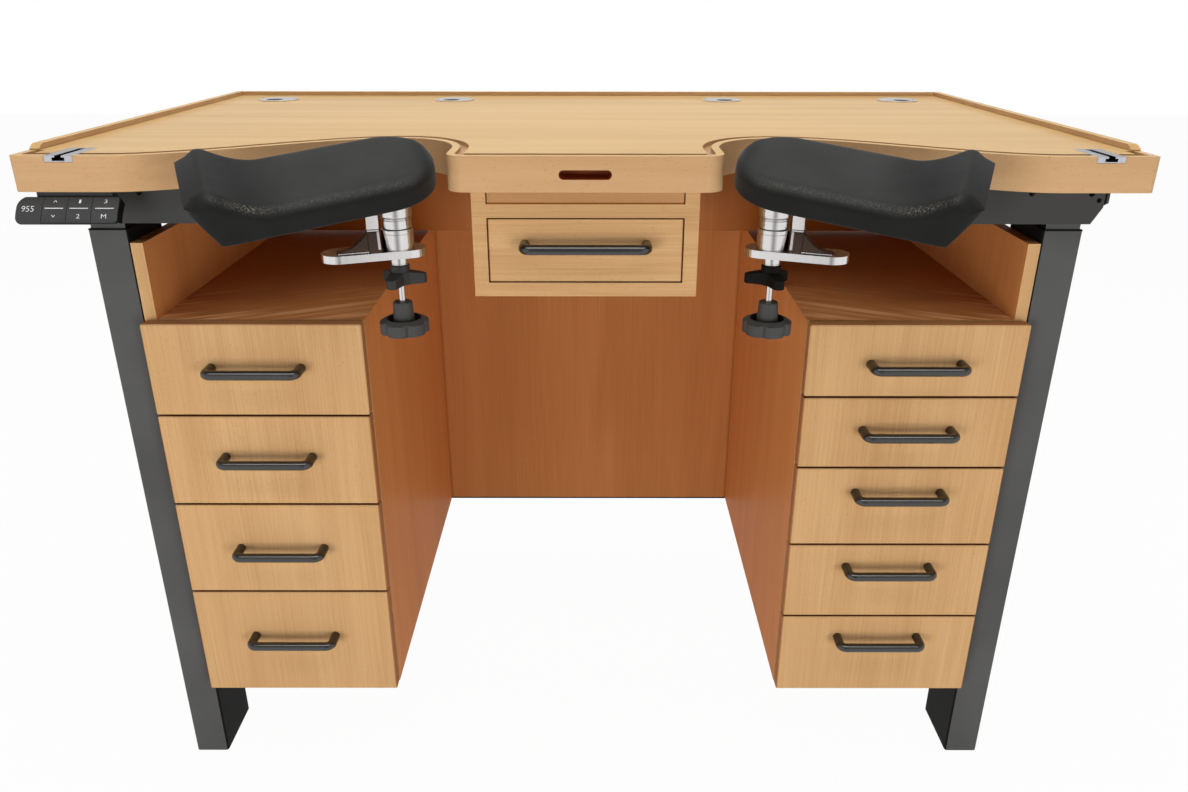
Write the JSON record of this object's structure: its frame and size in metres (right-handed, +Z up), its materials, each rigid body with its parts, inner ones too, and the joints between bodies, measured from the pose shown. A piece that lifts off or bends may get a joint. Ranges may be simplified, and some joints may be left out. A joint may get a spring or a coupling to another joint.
{
  "type": "watchmaker's bench",
  "caption": "Height-adjustable watchmaker's bench in light beech on dark steel telescopic legs, with drawer pedestals, a centre drawer, swivelling black armrests and a lift handset.",
  "frame": {"origin": "on the floor under the middle of the bench's bounding box", "axes": "+X to the right as the seated user faces the bench, +Y from the user towards the back, +Z up"},
  "size_m": [1.37, 0.9192, 0.9714],
  "materials": {
    "beech": "light beech with clear satin lacquer",
    "coated_steel": "dark warm-grey powder coat",
    "graphite_handle": "satin graphite",
    "polished_steel": "mirror polished",
    "black_pad": "fine-grained black, worn to a sheen on the edges",
    "black_plastic": "matte black",
    "handset_plastic": "dark grey, fine texture",
    "silver_ring": "light satin silver",
    "aluminium_rail": "grey anodised"
  },
  "bodies": {
    "base": {"leg_tube_left_front": "coated_steel", "leg_tube_left_rear": "coated_steel", "leg_tube_right_front": "coated_steel", "leg_tube_right_rear": "coated_steel", "pedestal_case_left": "beech", "pedestal_case_right": "beech", "knee_back_panel": "beech"},
    "lift": {"leg_column_left_front": "coated_steel", "leg_column_left_rear": "coated_steel", "leg_column_right_front": "coated_steel", "leg_column_right_rear": "coated_steel", "side_frame_left": "coated_steel", "side_frame_right": "coated_steel", "cross_rail": "coated_steel", "control_box": "handset_plastic", "bench_top": "beech", "top_rim": "beech", "cable_ring_left_outer": "silver_ring", "cable_ring_left_inner": "silver_ring", "cable_ring_right_outer": "silver_ring", "cable_ring_right_inner": "silver_ring", "t_rail_left": "aluminium_rail", "t_rail_right": "aluminium_rail", "upper_back_panel": "beech", "centre_case": "beech", "handset_body": "handset_plastic", "arm_bracket_left": "polished_steel", "arm_bracket_right": "polished_steel"},
    "drawer_left_1": {"drawer_left_1": "beech", "handle_left_1": "graphite_handle"},
    "drawer_left_2": {"drawer_left_2": "beech", "handle_left_2": "graphite_handle"},
    "drawer_left_3": {"drawer_left_3": "beech", "handle_left_3": "graphite_handle"},
    "drawer_left_4": {"drawer_left_4": "beech", "handle_left_4": "graphite_handle"},
    "drawer_right_1": {"drawer_right_1": "beech", "handle_right_1": "graphite_handle"},
    "drawer_right_2": {"drawer_right_2": "beech", "handle_right_2": "graphite_handle"},
    "drawer_right_3": {"drawer_right_3": "beech", "handle_right_3": "graphite_handle"},
    "drawer_right_4": {"drawer_right_4": "beech", "handle_right_4": "graphite_handle"},
    "drawer_right_5": {"drawer_right_5": "beech", "handle_right_5": "graphite_handle"},
    "centre_drawer": {"centre_drawer": "beech", "centre_handle": "graphite_handle"},
    "centre_tray": {"centre_tray": "beech"},
    "armrest_left": {"arm_pad_left": "black_pad", "arm_post_left": "polished_steel"},
    "star_knob_left": {"star_knob_left": "black_plastic"},
    "lower_knob_left": {"lower_knob_left": "black_plastic"},
    "armrest_right": {"arm_pad_right": "black_pad", "arm_post_right": "polished_steel"},
    "star_knob_right": {"star_knob_right": "black_plastic"},
    "lower_knob_right": {"lower_knob_right": "black_plastic"},
    "handset_key_1": {"handset_key_1": "black_plastic"},
    "handset_key_2": {"handset_key_2": "black_plastic"},
    "handset_key_3": {"handset_key_3": "black_plastic"}
  },
  "joints": [
    {"name": "lift_height", "type": "slide", "parent": "base", "child": "lift", "axis": [0, 0, 1], "range_m": [0, 0.3]},
    {"name": "drawer_left_1_slide", "type": "slide", "parent": "base", "child": "drawer_left_1", "axis": [0, -1, 0], "range_m": [0, 0.4]},
    {"name": "drawer_left_2_slide", "type": "slide", "parent": "base", "child": "drawer_left_2", "axis": [0, -1, 0], "range_m": [0, 0.4]},
    {"name": "drawer_left_3_slide", "type": "slide", "parent": "base", "child": "drawer_left_3", "axis": [0, -1, 0], "range_m": [0, 0.4]},
    {"name": "drawer_left_4_slide", "type": "slide", "parent": "base", "child": "drawer_left_4", "axis": [0, -1, 0], "range_m": [0, 0.4]},
    {"name": "drawer_right_1_slide", "type": "slide", "parent": "base", "child": "drawer_right_1", "axis": [0, -1, 0], "range_m": [0, 0.4]},
    {"name": "drawer_right_2_slide", "type": "slide", "parent": "base", "child": "drawer_right_2", "axis": [0, -1, 0], "range_m": [0, 0.4]},
    {"name": "drawer_right_3_slide", "type": "slide", "parent": "base", "child": "drawer_right_3", "axis": [0, -1, 0], "range_m": [0, 0.4]},
    {"name": "drawer_right_4_slide", "type": "slide", "parent": "base", "child": "drawer_right_4", "axis": [0, -1, 0], "range_m": [0, 0.4]},
    {"name": "drawer_right_5_slide", "type": "slide", "parent": "base", "child": "drawer_right_5", "axis": [0, -1, 0], "range_m": [0, 0.4]},
    {"name": "centre_drawer_slide", "type": "slide", "parent": "lift", "child": "centre_drawer", "axis": [0, -1, 0], "range_m": [0, 0.25]},
    {"name": "centre_tray_slide", "type": "slide", "parent": "lift", "child": "centre_tray", "axis": [0, -1, 0], "range_m": [0, 0.25]},
    {"name": "armrest_left_swivel", "type": "hinge", "parent": "lift", "child": "armrest_left", "pos_m": [-0.233, -0.30939, 0.87], "axis": [0, 0, 1], "range_deg": [-8, 60]},
    {"name": "star_knob_left_turn", "type": "hinge", "parent": "lift", "child": "star_knob_left", "pos_m": [-0.233, -0.30939, 0.8], "axis": [0, 0, 1], "range_deg": [-180, 180]},
    {"name": "lower_knob_left_turn", "type": "hinge", "parent": "lift", "child": "lower_knob_left", "pos_m": [-0.233, -0.30939, 0.75], "axis": [0, 0, 1], "range_deg": [-180, 180]},
    {"name": "armrest_right_swivel", "type": "hinge", "parent": "lift", "child": "armrest_right", "pos_m": [0.233, -0.30939, 0.87], "axis": [0, 0, 1], "range_deg": [-60, 8]},
    {"name": "star_knob_right_turn", "type": "hinge", "parent": "lift", "child": "star_knob_right", "pos_m": [0.233, -0.30939, 0.8], "axis": [0, 0, 1], "range_deg": [-180, 180]},
    {"name": "lower_knob_right_turn", "type": "hinge", "parent": "lift", "child": "lower_knob_right", "pos_m": [0.233, -0.30939, 0.75], "axis": [0, 0, 1], "range_deg": [-180, 180]},
    {"name": "handset_key_1_rock", "type": "hinge", "parent": "lift", "child": "handset_key_1", "pos_m": [-0.63725, -0.32803, 0.89015], "axis": [1, 0, 0], "range_deg": [-3, 3], "stiffness_Nm_per_rad": 0.05},
    {"name": "handset_key_2_rock", "type": "hinge", "parent": "lift", "child": "handset_key_2", "pos_m": [-0.60755, -0.32803, 0.89015], "axis": [1, 0, 0], "range_deg": [-3, 3], "stiffness_Nm_per_rad": 0.05},
    {"name": "handset_key_3_rock", "type": "hinge", "parent": "lift", "child": "handset_key_3", "pos_m": [-0.5767, -0.32803, 0.89015], "axis": [1, 0, 0], "range_deg": [-3, 3], "stiffness_Nm_per_rad": 0.05}
  ]
}
